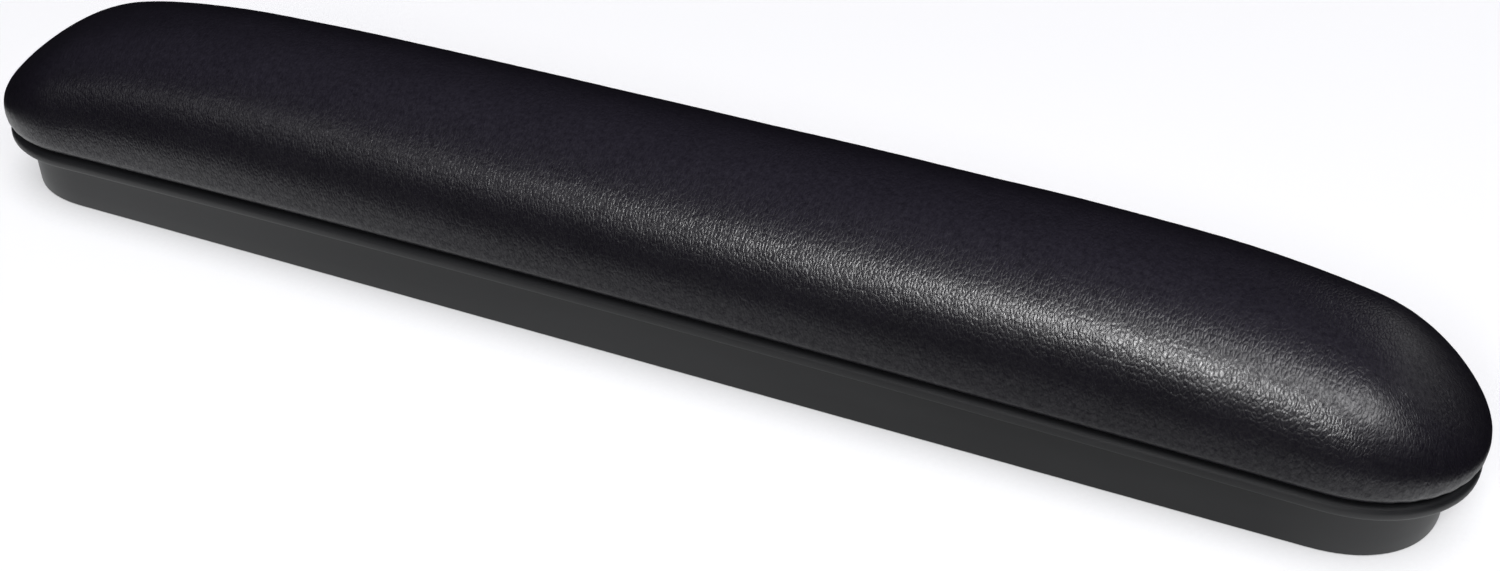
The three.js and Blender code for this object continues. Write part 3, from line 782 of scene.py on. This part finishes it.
class Nodes:
    """Short names for building a node material."""

    def __init__(self, name):
        self.material = bpy.data.materials.new(name)
        self.material.use_nodes = True
        self.tree = self.material.node_tree
        self.tree.nodes.clear()
        self.output = self.tree.nodes.new("ShaderNodeOutputMaterial")
        self.shader = self.tree.nodes.new("ShaderNodeBsdfPrincipled")
        self.link(self.shader.outputs[0], self.output.inputs["Surface"])

    def link(self, source, target):
        self.tree.links.new(source, target)

    def set(self, node, values):
        for name, value in values.items():
            socket = node.inputs[name]
            if isinstance(value, bpy.types.NodeSocket):
                self.link(value, socket)
            else:
                socket.default_value = value

    def node(self, kind, values=None, **settings):
        made = self.tree.nodes.new(kind)
        for name, value in settings.items():
            setattr(made, name, value)
        self.set(made, values or {})
        return made

    def place(self, scale):
        """Object coordinates in metres, stretched by scale along each axis."""
        source = self.node("ShaderNodeTexCoord").outputs["Object"]
        return self.node("ShaderNodeMapping", {"Vector": source, "Scale": scale}).outputs[0]

    def attribute_place(self, name, scale):
        source = self.node("ShaderNodeAttribute", attribute_name=name).outputs["Vector"]
        return self.node("ShaderNodeMapping", {"Vector": source, "Scale": scale}).outputs[0]

    def noise(self, vector, scale, detail=2.0, roughness=0.5):
        values = {"Vector": vector, "Scale": scale, "Detail": detail, "Roughness": roughness}
        return self.node("ShaderNodeTexNoise", values).outputs["Fac"]

    def cells(self, vector, scale, feature="F1"):
        return self.node("ShaderNodeTexVoronoi", {"Vector": vector, "Scale": scale}, feature=feature)

    def math(self, operation, first, second=0.0, third=0.0):
        made = self.tree.nodes.new("ShaderNodeMath")
        made.operation = operation
        for socket, value in zip(made.inputs, (first, second, third)):
            if isinstance(value, bpy.types.NodeSocket):
                self.link(value, socket)
            else:
                socket.default_value = value
        return made.outputs[0]

    def seam_level(self):
        """Height of the point above the arched seam, in metres."""
        parts = self.node("ShaderNodeSeparateXYZ", {"Vector": self.place((1, 1, 1))})
        square = self.math("POWER", parts.outputs["X"], 2.0)
        bow = self.math("MULTIPLY", square, SEAM_ARCH / HALF_LENGTH ** 2)
        straightened = self.math("ADD", parts.outputs["Z"], bow)
        return self.math("SUBTRACT", straightened, SEAM_END_HEIGHT + SEAM_ARCH)

    def blend(self, share, first, second):
        """first where share is 0, second where it is 1."""
        change = self.math("SUBTRACT", second, first)
        return self.math("MULTIPLY_ADD", change, share, first)

    def ramp(self, factor, stops):
        made = self.node("ShaderNodeValToRGB", {"Fac": factor})
        points = made.color_ramp.elements
        while len(points) < len(stops):
            points.new(0.5)
        for point, (at, colour) in zip(points, stops):
            point.position = at
            point.color = (*colour, 1)
        return made.outputs["Color"]

    def range(self, value, low, high, start=0.0, end=1.0):
        """low where value is start, high where it is end."""
        values = {"Value": value, "From Min": start, "From Max": end, "To Min": low, "To Max": high}
        return self.node("ShaderNodeMapRange", values).outputs[0]

    def bump(self, height, distance, normal=None):
        values = {"Height": height, "Distance": distance, "Strength": 1.0}
        if normal is not None:
            values["Normal"] = normal
        return self.node("ShaderNodeBump", values).outputs[0]


PER_MM = 1000.0
PLY_THICKNESS = 1.4 * MM
GRAIN_STRETCH = 0.55  # pebbles are longer across the pad than along it
PEBBLE_SCALE = 1.25 * PER_MM
PEBBLE_EDGE = 3.5
PEBBLE_DEPTH = 0.030 * MM
VALLEY_SCALE = 0.42 * PER_MM
VALLEY_EDGE = 9.0
VALLEY_DEPTH = 0.016 * MM
HAIR_DEPTH = 0.013 * MM
GROOVE_LOW = -1.7 * MM  # painted shade of the groove: the flange's gloss fades between these levels under the seam
GROOVE_HIGH = -0.9 * MM


def vinyl_material():
    """Black leather-grained vinyl with a satin finish."""
    n = Nodes("black_grained_vinyl")
    place = n.place((1, 1, 1))
    wander = n.noise(place, 0.8 * PER_MM, 2.0, 0.5)
    share = n.node("ShaderNodeAttribute", attribute_name="fan_share").outputs["Fac"]
    creased = n.node("ShaderNodeAttribute", attribute_name="creased").outputs["Fac"]
    heights = []
    sheets = (("flat", (1, GRAIN_STRETCH, 1), "2D"), ("fan", (1, 1, GRAIN_STRETCH), "3D"))
    for source, scale, dimensions in sheets:
        sheet = n.attribute_place(source, scale)
        cells = n.node("ShaderNodeTexVoronoi", {"Vector": sheet, "Scale": PEBBLE_SCALE},
                       feature="DISTANCE_TO_EDGE", voronoi_dimensions=dimensions).outputs["Distance"]
        pebbles = n.math("MINIMUM", n.math("MULTIPLY", cells, PEBBLE_EDGE), 1.0)
        lines = n.noise(sheet, VALLEY_SCALE, 3.0, 0.6)
        lines = n.math("ABSOLUTE", n.math("SUBTRACT", lines, 0.5))
        lines = n.math("MINIMUM", n.math("MULTIPLY", lines, VALLEY_EDGE), 1.0)
        heights.append((pebbles, lines))
    (flat_pebbles, flat_lines), (fan_pebbles, fan_lines) = heights
    pebbles = n.blend(share, flat_pebbles, fan_pebbles)
    lines = n.blend(share, flat_lines, fan_lines)
    hair = n.noise(place, 4.0 * PER_MM, 3.0, 0.6)
    pebbles = n.math("MULTIPLY", pebbles, n.range(wander, 0.55, 1.3))
    valleys = n.math("MULTIPLY", n.math("SUBTRACT", lines, 1.0), creased)
    normal = n.bump(pebbles, PEBBLE_DEPTH)
    normal = n.bump(valleys, VALLEY_DEPTH, normal)
    normal = n.bump(hair, HAIR_DEPTH, normal)
    tone = n.noise(place, 0.09 * PER_MM, 4.0, 0.6)
    colour = n.ramp(
        n.math("ADD", n.math("MULTIPLY", tone, 0.7), n.math("MULTIPLY", pebbles, 0.3)),
        [(0.30, (0.0026, 0.0022, 0.0038)), (0.55, (0.0036, 0.0030, 0.0050)),
         (0.85, (0.0052, 0.0044, 0.0072))],
    )
    worn = n.noise(place, 0.035 * PER_MM, 3.0, 0.5)
    gloss = n.range(worn, 0.26, 0.33)
    gloss = n.math("ADD", gloss, n.math("MULTIPLY", n.math("SUBTRACT", 1.0, pebbles), 0.08))
    mottle = n.range(n.noise(place, 0.9 * PER_MM, 3.0, 0.75), -0.1, 1.1)
    n.set(n.shader, {"Base Color": colour, "Roughness": gloss, "Normal": normal,
                     "IOR": 1.5, "Specular IOR Level": mottle})
    return n.material


def moulded_material():
    """Black moulded plastic with a fine eroded texture, and painted shade along the groove under the
    seam.
    """
    n = Nodes("black_moulded_plastic")
    place = n.place((1, 1, 1))
    grain = n.noise(place, 1.9 * PER_MM, 4.0, 0.65)
    flecks = n.cells(place, 3.2 * PER_MM).outputs["Distance"]
    flow_lines = n.noise(n.place((0.12, 1, 0.5)), 0.16 * PER_MM, 3.0, 0.5)
    normal = n.bump(grain, 0.014 * MM)
    normal = n.bump(flecks, 0.006 * MM, normal)
    colour = n.ramp(flow_lines, [(0.30, (0.0050, 0.0053, 0.0058)), (0.70, (0.0085, 0.0088, 0.0095))])
    gloss = n.math("ADD", n.range(flow_lines, 0.46, 0.56), n.math("MULTIPLY", grain, 0.06))
    # painted shade: specular is turned down on the flange's top next to the seam groove, where shade
    # falls
    painted_groove_shade = n.range(n.seam_level(), 0.5, 0.12, GROOVE_LOW, GROOVE_HIGH)
    n.set(n.shader, {"Base Color": colour, "Roughness": gloss, "Normal": normal, "IOR": 1.52,
                     "Specular IOR Level": painted_groove_shade})
    return n.material


def foam_material():
    """Open-cell polyurethane foam."""
    n = Nodes("open_cell_foam")
    place = n.place((1, 1, 1))
    large = n.cells(place, 0.9 * PER_MM, "SMOOTH_F1").outputs["Distance"]
    small = n.cells(place, 2.2 * PER_MM).outputs["Distance"]
    stain = n.noise(place, 0.05 * PER_MM, 3.0, 0.5)
    holes = n.math("MULTIPLY", large, small)
    normal = n.bump(large, 0.25 * MM)
    normal = n.bump(small, 0.10 * MM, normal)
    shade = n.math("ADD", n.math("MULTIPLY", stain, 0.5), n.math("MULTIPLY", holes, 0.9))
    colour = n.ramp(shade, [(0.2, (0.44, 0.35, 0.15)), (0.5, (0.70, 0.61, 0.34)),
                            (0.8, (0.80, 0.73, 0.47))])
    n.set(n.shader, {"Base Color": colour, "Roughness": 0.95, "Normal": normal,
                     "Sheen Weight": 0.25, "Sheen Roughness": 0.6})
    return n.material


def plywood_material():
    """Birch plywood, with its plies on the cut edges."""
    n = Nodes("birch_plywood")
    grain = n.noise(n.place((0.05, 1, 1)), 0.55 * PER_MM, 5.0, 0.6)
    level = n.seam_level()
    ply = n.math("FRACT", n.math("DIVIDE", level, PLY_THICKNESS))
    bands = n.math("GREATER_THAN", n.math("FRACT", n.math("DIVIDE", level, 2 * PLY_THICKNESS)), 0.5)
    bands = n.math("ADD", n.math("MULTIPLY", bands, 0.7), n.math("MULTIPLY", ply, 0.3))
    face = n.node("ShaderNodeNewGeometry").outputs["Normal"]
    up = n.math("ABSOLUTE", n.node("ShaderNodeSeparateXYZ", {"Vector": face}).outputs["Z"])
    shade = n.math("ADD", n.math("MULTIPLY", grain, 0.75),
                   n.math("MULTIPLY", n.math("SUBTRACT", 1.0, up), n.math("MULTIPLY", bands, 0.35)))
    colour = n.ramp(shade, [(0.15, (0.26, 0.13, 0.05)), (0.45, (0.47, 0.28, 0.12)),
                            (0.75, (0.62, 0.42, 0.21))])
    normal = n.bump(grain, 0.05 * MM)
    n.set(n.shader, {"Base Color": colour, "Roughness": n.range(grain, 0.55, 0.75), "Normal": normal})
    return n.material


def plated_material(name, low, high, rough):
    """Plated steel with faint spangle and scratches."""
    n = Nodes(name)
    place = n.place((1, 1, 1))
    spangle = n.cells(place, 0.8 * PER_MM).outputs["Color"]
    spangle = n.node("ShaderNodeSeparateColor", {"Color": spangle}).outputs["Red"]
    scratch = n.noise(n.place((0.2, 1, 1)), 6.0 * PER_MM, 2.0, 0.6)
    shade = n.math("ADD", n.math("MULTIPLY", spangle, 0.6), n.math("MULTIPLY", scratch, 0.4))
    colour = n.ramp(shade, [(0.2, low), (0.8, high)])
    normal = n.bump(scratch, 0.008 * MM)
    n.set(n.shader, {"Base Color": colour, "Roughness": n.range(shade, rough, rough + 0.14),
                     "Metallic": 1.0, "Normal": normal})
    return n.material


CONTACT_REACH = 11 * MM
FLOOR_GLOW = (0.20, 0.70)  # floor glow where the floor is shut in, and where it is open; the dimmer glow paints the contact shadow


def floor_material():
    """Pale matt studio paper that glows evenly, with a painted contact shadow: its glow darkens where
    the pad stands close over it.
    """
    n = Nodes("studio_paper")
    fibre = n.noise(n.place((1, 1, 1)), 0.9 * PER_MM, 3.0, 0.6)
    colour = n.ramp(fibre, [(0.2, (0.30, 0.30, 0.305)), (0.8, (0.33, 0.33, 0.335))])
    # painted contact shadow: ambient occlusion near the pad dims the floor's glow
    near = n.node("ShaderNodeAmbientOcclusion", {"Distance": CONTACT_REACH}, samples=16)
    n.set(n.shader, {"Base Color": colour, "Roughness": 0.9, "Specular IOR Level": 0.2,
                     "Emission Color": (0.99, 0.995, 1.0, 1),
                     "Emission Strength": n.range(near.outputs["AO"], *FLOOR_GLOW)})
    return n.material


def glow_material(name, strength):
    """Even pale light of a given strength."""
    material = bpy.data.materials.new(name)
    material.use_nodes = True
    tree = material.node_tree
    tree.nodes.clear()
    glow = tree.nodes.new("ShaderNodeEmission")
    glow.inputs["Color"].default_value = (0.98, 0.99, 1.0, 1)
    glow.inputs["Strength"].default_value = strength
    output = tree.nodes.new("ShaderNodeOutputMaterial")
    tree.links.new(glow.outputs[0], output.inputs["Surface"])
    return material


def dress(obj, material):
    obj.data.materials.clear()
    obj.data.materials.append(material)


# ---- Stage, lights and camera

FLOOR_SIZE = 8.0
FLOOR_DROP = 0.05 * MM
STRIP_WIDTH = 52 * MM
STRIP_GLOW = ((-180 * MM, 1.1), (-60 * MM, 0.70), (80 * MM, 0.48), (140 * MM, 0.5), (178 * MM, 1.4))
STRIP_FAR = 0.6  # brightness on the far side, against STRIP_GLOW at each x on the near side
STRIP_FAR_WIDTH = 24 * MM
BACKDROP_GLOW = 0.93
BACKDROP_SIDES = 64
LIGHT_AIM = Vector((0, 0, 30 * MM))
LIGHT_DISTANCE = 1.0
LIGHTS = (  # name, azimuth and elevation in degrees, size in metres, power in watts
    ("key", 4, 34, (0.24, 0.20), 6.4),
    ("upper_right", 34, 54, (0.35, 0.30), 2.2),
    ("right_fill", 68, 50, (0.60, 0.35), 4.2),
    ("left_fill", -40, 27, (0.50, 0.20), 0.35),
    ("back_fill", 140, 20, (0.60, 0.25), 0.4),
)
CAMERA_AZIMUTH = 24.16  # degrees
CAMERA_ELEVATION = 35.5
CAMERA_DISTANCE = 491.65 * MM
CAMERA_CLIP = (0.01, 100)
AIM_RIGHT = 17.84 * MM
AIM_UP = 5.01 * MM
LENS = 51.85  # focal length and sensor width in mm
SENSOR = 36.0


def direction(azimuth, elevation):
    """Unit vector towards azimuth 0 along -Y, 90 along +X, at an elevation, in degrees."""
    a, e = math.radians(azimuth), math.radians(elevation)
    return Vector((math.sin(a) * math.cos(e), -math.cos(a) * math.cos(e), math.sin(e)))


def unseen_by(obj, *rays):
    """Hides a stage object from some kinds of light ray."""
    for ray in rays:
        setattr(obj, "visible_" + ray, False)


def make_floor():
    """Pale paper, with a narrow strip of it round the pad that shows in reflections."""
    half = FLOOR_SIZE / 2
    corners = [(-half, -half, -FLOOR_DROP), (half, -half, -FLOOR_DROP),
               (half, half, -FLOOR_DROP), (-half, half, -FLOOR_DROP)]
    floor = new_object("studio_floor", mesh_from("studio_floor", corners, [(0, 1, 2, 3)]))
    dress(floor, floor_material())
    unseen_by(floor, "glossy")
    plan = wall_plan(0)
    near = smoothstep(-plan[:, 1], -0.5 * HALF_WIDTH, 0.5 * HALF_WIDTH)
    edge = wall_plan(-STRIP_FAR_WIDTH)
    edge += near[:, None] * (wall_plan(-STRIP_WIDTH) - edge)
    rings = [at_height(plan, -FLOOR_DROP / 2), at_height(edge, -FLOOR_DROP / 2)]
    strip = new_object("bounce_strip", lofted("bounce_strip", rings))
    along = np.interp(plan[:, 0], *zip(*STRIP_GLOW))
    glow = strip.data.attributes.new("glow", "FLOAT", "POINT")
    glow.data.foreach_set("value", np.tile(STRIP_FAR + (along - STRIP_FAR) * near, 2).astype(np.float32))
    material = glow_material("bounce", 1)
    nodes = material.node_tree.nodes
    amount = nodes.new("ShaderNodeAttribute")
    amount.attribute_name = "glow"
    material.node_tree.links.new(amount.outputs["Fac"], nodes["Emission"].inputs["Strength"])
    dress(strip, material)
    unseen_by(strip, "camera", "diffuse", "shadow", "transmission")


def make_backdrop():
    """Pale wall all round, which only the camera sees."""
    rings = []
    turn = np.linspace(0, 2 * np.pi, BACKDROP_SIDES + 1)[:-1]
    radius = FLOOR_SIZE / 2
    for height in (-FLOOR_SIZE / 2, FLOOR_SIZE):
        rings.append(at_height(np.c_[np.cos(turn), np.sin(turn)] * radius, height))
    wall = new_object("studio_backdrop", lofted("studio_backdrop", rings))
    dress(wall, glow_material("backdrop", BACKDROP_GLOW))
    unseen_by(wall, "glossy", "diffuse", "shadow", "transmission")


def area_light(name, azimuth, elevation, size, power):
    """Soft rectangular light that shines at the pad from a direction in degrees."""
    data = bpy.data.lights.new(name, "AREA")
    data.shape = "RECTANGLE"
    data.size, data.size_y = size
    data.energy = power
    lamp = new_object(name, data)
    towards = direction(azimuth, elevation)
    lamp.location = LIGHT_AIM + towards * LIGHT_DISTANCE
    lamp.rotation_mode = "QUATERNION"
    lamp.rotation_quaternion = (-towards).to_track_quat("-Z", "Y")


SKY_TINT = (0.92, 0.84, 1.20)
SKY = ((-0.02, 0.005), (0.30, 0.025), (0.62, 0.15), (1.0, 0.36))  # brightness by height


def make_world():
    """Soft room light that is dim at the horizon and stronger overhead."""
    world = bpy.data.worlds.new("studio")
    world.use_nodes = True
    tree = world.node_tree
    tree.nodes.clear()
    output = tree.nodes.new("ShaderNodeOutputWorld")
    sky = tree.nodes.new("ShaderNodeBackground")
    where = tree.nodes.new("ShaderNodeTexCoord")
    split = tree.nodes.new("ShaderNodeSeparateXYZ")
    ramp = tree.nodes.new("ShaderNodeValToRGB")
    tree.links.new(where.outputs["Generated"], split.inputs[0])
    half = tree.nodes.new("ShaderNodeMath")
    half.operation = "MULTIPLY_ADD"
    half.inputs[1].default_value = half.inputs[2].default_value = 0.5
    tree.links.new(split.outputs["Z"], half.inputs[0])
    tree.links.new(half.outputs[0], ramp.inputs["Fac"])
    points = ramp.color_ramp.elements
    while len(points) < len(SKY):
        points.new(0.5)
    for point, (height, brightness) in zip(points, SKY):
        point.position = (height + 1) / 2
        point.color = (*(brightness * part for part in SKY_TINT), 1)
    tree.links.new(ramp.outputs["Color"], sky.inputs["Color"])
    tree.links.new(sky.outputs[0], output.inputs["Surface"])
    bpy.context.scene.world = world


def make_camera():
    """Camera that looks along -back, aimed a little right of and above the origin."""
    azimuth = math.radians(CAMERA_AZIMUTH)
    back = direction(CAMERA_AZIMUTH, CAMERA_ELEVATION)
    right = Vector((math.cos(azimuth), math.sin(azimuth), 0))
    up = back.cross(right)
    data = bpy.data.cameras.new("camera")
    data.lens = LENS
    data.sensor_width = SENSOR
    data.clip_start, data.clip_end = CAMERA_CLIP
    camera = new_object("camera", data)
    place = right * AIM_RIGHT + up * AIM_UP + back * CAMERA_DISTANCE
    turn = Matrix((right, up, back)).transposed().to_4x4()
    camera.matrix_world = Matrix.Translation(place) @ turn
    bpy.context.scene.camera = camera


# ---- Putting it together

NUT_SHARP_ANGLE = 30


def own_piece(obj, slot, material, *nodes):
    """Dresses a Blender piece and lets it stand for CAD nodes."""
    dress(obj, material)
    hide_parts(*nodes)
    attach(obj, "root")
    return obj


def main():
    bpy.context.scene.view_settings.view_transform = "Standard"
    vinyl, moulded = vinyl_material(), moulded_material()
    zinc = plated_material("zinc_plate", (0.36, 0.37, 0.38), (0.58, 0.59, 0.60), 0.26)
    wire = plated_material("galvanised_wire", (0.25, 0.26, 0.28), (0.42, 0.43, 0.45), 0.30)
    nodes = frame["nodes"]
    cover = own_piece(cover_skin(), "vinyl", vinyl, "vinyl_cover")
    own_piece(foam_body(), "foam", foam_material(), "foam_pad")
    dress(nodes["support_board"], plywood_material())
    own_piece(base_moulding(), "moulded_plastic", moulded, "base_shell")
    for number in range(1, 2 * len(SCREW_OFFSETS) + 1):
        name = f"base_screw_{number}"
        low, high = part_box(name)
        screw = pan_screw((low[0] + high[0]) / 2)
        screw.name = f"pan_screw_{number}"
        own_piece(screw, "zinc_steel", zinc, name)
    for name, node in nodes.items():
        if name.startswith("t_nut"):
            dress(node, zinc)
            smooth_between_edges(node.data, NUT_SHARP_ANGLE)
        if name.startswith("cover_staple"):
            dress(node, wire)
    make_floor()
    make_backdrop()
    make_world()
    for light in LIGHTS:
        area_light(*light)
    make_camera()


main()
